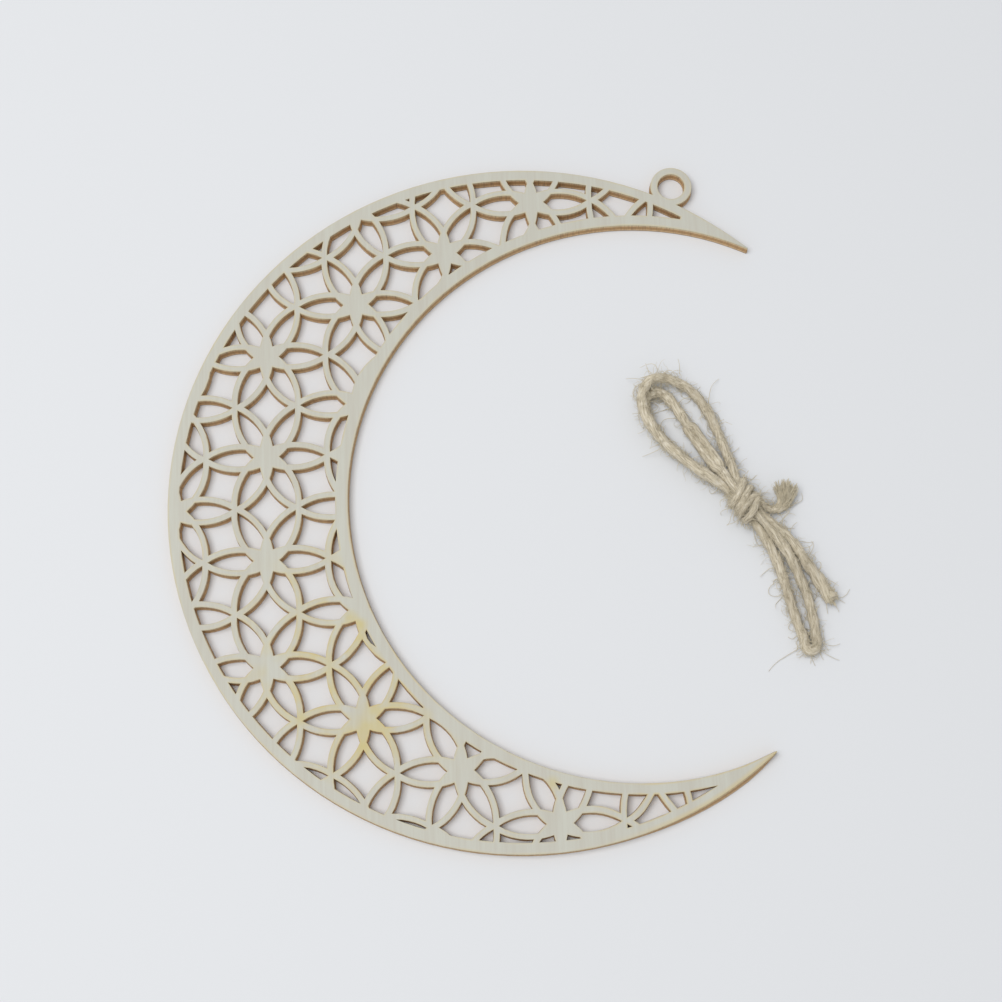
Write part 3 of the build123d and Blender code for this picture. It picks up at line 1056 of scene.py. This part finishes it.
class ORNAMENT_OT_fibres(bpy.types.Operator):
    """Makes the fuzz, the stray hairs and the frayed ends of the twine"""

    bl_idname = "ornament.fibres"
    bl_label = "Loose Fibres"

    def execute(self, context):
        look = context.scene.ornament_twine
        chance = random.Random(FIBRE_SEED)
        spots = carried_spots(smooth_line(ROUTE))
        twine = Twine(spots, [spot.run for spot in spots], look.diameter / 2)
        fuzz, hairs, curls = [
            [loose_fibre(chance, anywhere(chance, twine), twine.radius, kind) for _ in range(count)]
            for kind, count in ((FUZZ, look.fuzz), (HAIR, look.hairs), (WIRY_HAIR, look.curls))
        ]
        hairs += [[(place, WIRY_SHARE * share) for place, share in curl] for curl in curls]
        hairs += worn_hairs(chance, twine)
        hairs += [stray_hair(places) for places in STRAYS]
        frays = []
        for cut in CUT_ENDS:
            for _ in range(cut.tufts):
                frays += cut_end_tuft(chance, twine, cut)
        fibre = loose_jute(look)
        for name, strands, radius in (
            ("twine_fuzz", fuzz, FUZZ_RADIUS),
            ("twine_stray_hairs", hairs, HAIR_RADIUS),
            ("twine_frayed_ends", frays, FRAY_RADIUS),
        ):
            add_piece(name, strand_mesh(name, strands, radius, FIBRE_SIDES), "twine", "jute", fibre)
        return {"FINISHED"}


class ORNAMENT_OT_twine(bpy.types.Operator):
    """Lays the twisted yarns along the hank, its lashing and its tail"""

    bl_idname = "ornament.twine"
    bl_label = "Jute Twine"

    def execute(self, context):
        look = context.scene.ornament_twine
        chance = random.Random(YARN_SEED)
        points = smooth_line(ROUTE)
        spots = carried_spots(points)
        strands = []
        for yarn in range(look.yarns):
            phase = math.tau * yarn / look.yarns
            drift = chance.uniform(*SWELL_DRIFT)
            strands.append([yarn_point(spot, spots[-1].run, phase, drift, look) for spot in spots])
        mesh = strand_mesh("twine_yarns", strands, look.diameter * YARN_RADIUS, YARN_SIDES)
        piece = add_piece("twine_yarns", mesh, "twine", "jute", twisted_jute(look))
        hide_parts("twine_hank", "twine_lashing", "twine_tail")
        return {"FINISHED"}


# Stage: half the side of the floor and its drop below the sheet, the place of the soft light, and the
# camera's sensor in mm, near limit, place and three axes
FLOOR_REACH = 2.0
FLOOR_DROP = 0.02 * MM
KEY_PLACE = Vector((-0.27, -0.02, 0.82))
SENSOR_WIDTH = 36.0
CAMERA_NEAR = 0.01
CAMERA_PLACE = (0.005318, -0.076686, 0.276771)
CAMERA_RIGHT = (0.99922, -0.03869, -0.00833)
CAMERA_UP = (0.03951, 0.96345, 0.26494)
CAMERA_BACK = (-0.00223, -0.26506, 0.96423)


def lay_floor(scene, look):
    """Lays the floor under the ornament."""
    ground = bmesh.new()
    bmesh.ops.create_grid(ground, x_segments=1, y_segments=1, size=FLOOR_REACH)
    mesh = bpy.data.meshes.new("floor")
    ground.to_mesh(mesh)
    ground.free()
    mesh.materials.append(painted_floor(look))
    floor = bpy.data.objects.new("floor", mesh)
    floor.location.z = -FLOOR_DROP
    scene.collection.objects.link(floor)


def hang_lights(scene, look):
    """Hangs one large soft light in an even white surround."""
    world = bpy.data.worlds.new("studio")
    world.use_nodes = True
    surround = world.node_tree.nodes["Background"]
    surround.inputs["Color"].default_value = (1, 1, 1, 1)
    surround.inputs["Strength"].default_value = look.world
    scene.world = world
    lamp = bpy.data.lights.new("soft_key", "AREA")
    lamp.energy = look.key
    lamp.size = look.key_side
    key = bpy.data.objects.new("soft_key", lamp)
    key.location = KEY_PLACE
    key.rotation_euler = (-KEY_PLACE).to_track_quat("-Z", "Y").to_euler()
    scene.collection.objects.link(key)


def place_camera(scene, look):
    """Places the camera at the viewing angle of the photograph."""
    lens = bpy.data.cameras.new("camera")
    lens.lens = look.focal
    lens.sensor_width = SENSOR_WIDTH
    lens.clip_start = CAMERA_NEAR
    camera = bpy.data.objects.new("camera", lens)
    axes = Matrix((CAMERA_RIGHT, CAMERA_UP, CAMERA_BACK)).transposed()
    camera.matrix_world = Matrix.Translation(CAMERA_PLACE) @ axes.to_4x4()
    scene.collection.objects.link(camera)
    scene.camera = camera


class ORNAMENT_OT_stage(bpy.types.Operator):
    """Sets the pale floor, the soft studio light and the camera"""

    bl_idname = "ornament.stage"
    bl_label = "Stage"

    def execute(self, context):
        look = context.scene.ornament_stage
        lay_floor(context.scene, look)
        hang_lights(context.scene, look)
        place_camera(context.scene, look)
        context.scene.view_settings.view_transform = "Standard"
        return {"FINISHED"}


OPERATORS = (ORNAMENT_OT_stage, ORNAMENT_OT_fretwork, ORNAMENT_OT_fibres, ORNAMENT_OT_twine)


class ORNAMENT_PT_panel(bpy.types.Panel):
    """Lists the ornament's settings and the steps that make it"""

    bl_label = "Pierced Crescent"
    bl_space_type = "VIEW_3D"
    bl_region_type = "UI"
    bl_category = "Ornament"

    def draw(self, context):
        scene = context.scene
        for group in (scene.ornament_stage, scene.ornament_crescent, scene.ornament_twine):
            box = self.layout.box()
            for name in group.__annotations__:
                box.prop(group, name)
        for step in OPERATORS:
            self.layout.operator(step.bl_idname)


CLASSES = (CrescentSettings, TwineSettings, StageSettings, *OPERATORS, ORNAMENT_PT_panel)


def register():
    """Registers the classes and hangs the settings on the scene."""
    for cls in CLASSES:
        bpy.utils.register_class(cls)
    bpy.types.Scene.ornament_crescent = PointerProperty(type=CrescentSettings)
    bpy.types.Scene.ornament_twine = PointerProperty(type=TwineSettings)
    bpy.types.Scene.ornament_stage = PointerProperty(type=StageSettings)


def unregister():
    """Takes the settings off the scene and unregisters the classes."""
    del bpy.types.Scene.ornament_stage
    del bpy.types.Scene.ornament_twine
    del bpy.types.Scene.ornament_crescent
    for cls in reversed(CLASSES):
        bpy.utils.unregister_class(cls)


def main():
    """Makes the pieces in order."""
    register()
    bpy.ops.ornament.stage()
    bpy.ops.ornament.fretwork()
    bpy.ops.ornament.fibres()
    bpy.ops.ornament.twine()
    bpy.context.view_layer.update()


if __name__ == "__main__":
    main()
